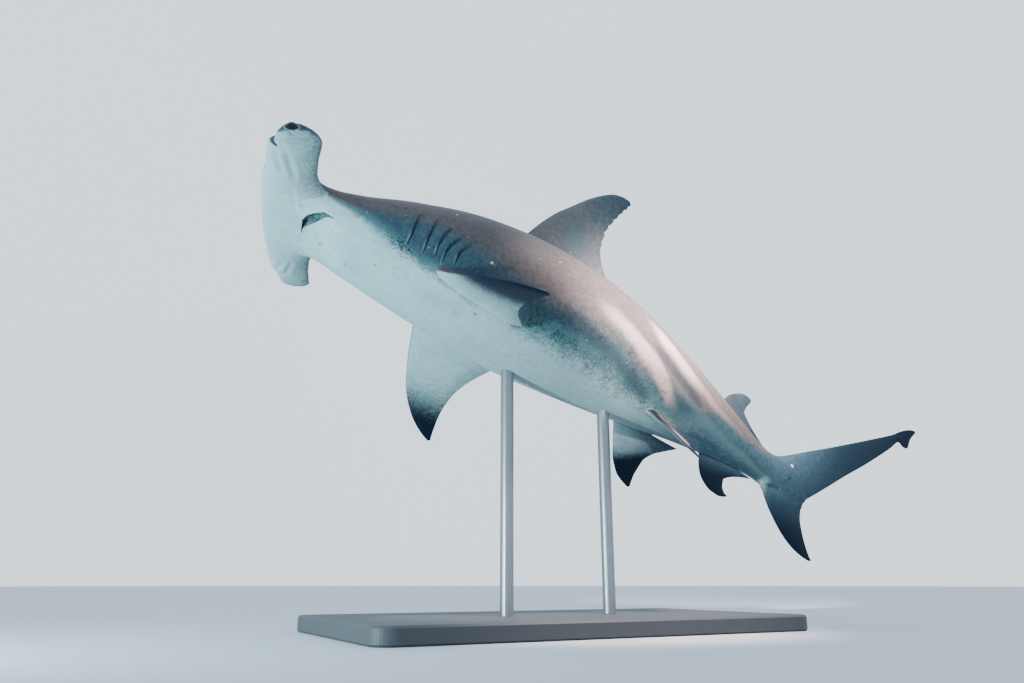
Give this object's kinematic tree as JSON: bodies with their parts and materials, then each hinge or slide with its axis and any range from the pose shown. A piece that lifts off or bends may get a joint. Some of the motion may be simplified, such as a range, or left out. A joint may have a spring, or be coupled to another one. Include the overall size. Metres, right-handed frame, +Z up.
{
  "type": "great hammerhead shark",
  "caption": "Life-size great hammerhead shark bending in mid-swim, held above a flat base by short rods.",
  "frame": {"origin": "centre of the underside of the stand's base plate, on the floor", "axes": "+Z up, -X the way the shark heads, -Y the shark's left side"},
  "size_m": [3.2562, 1.1708, 1.6627],
  "materials": {
    "body_skin": "satin skin, grey above and pale below",
    "fin_skin": "satin skin, grey with dark tips",
    "eye": "wet gloss",
    "stand_plate": "satin paint",
    "stand_rod": "brushed"
  },
  "bodies": {
    "root": {"head": "body_skin", "gill_region": "body_skin", "torso": "body_skin", "tail_stalk": "body_skin", "dorsal_fin_first": "fin_skin", "dorsal_fin_second": "fin_skin", "anal_fin": "fin_skin", "pectoral_fin_left": "fin_skin", "pectoral_fin_right": "fin_skin", "pelvic_fin_left": "fin_skin", "pelvic_fin_right": "fin_skin", "caudal_upper_lobe": "fin_skin", "caudal_lower_lobe": "fin_skin", "eye_left": "eye", "eye_right": "eye", "stand_base": "stand_plate", "stand_rod_front": "stand_rod", "stand_rod_rear": "stand_rod"}
  },
  "joints": []
}
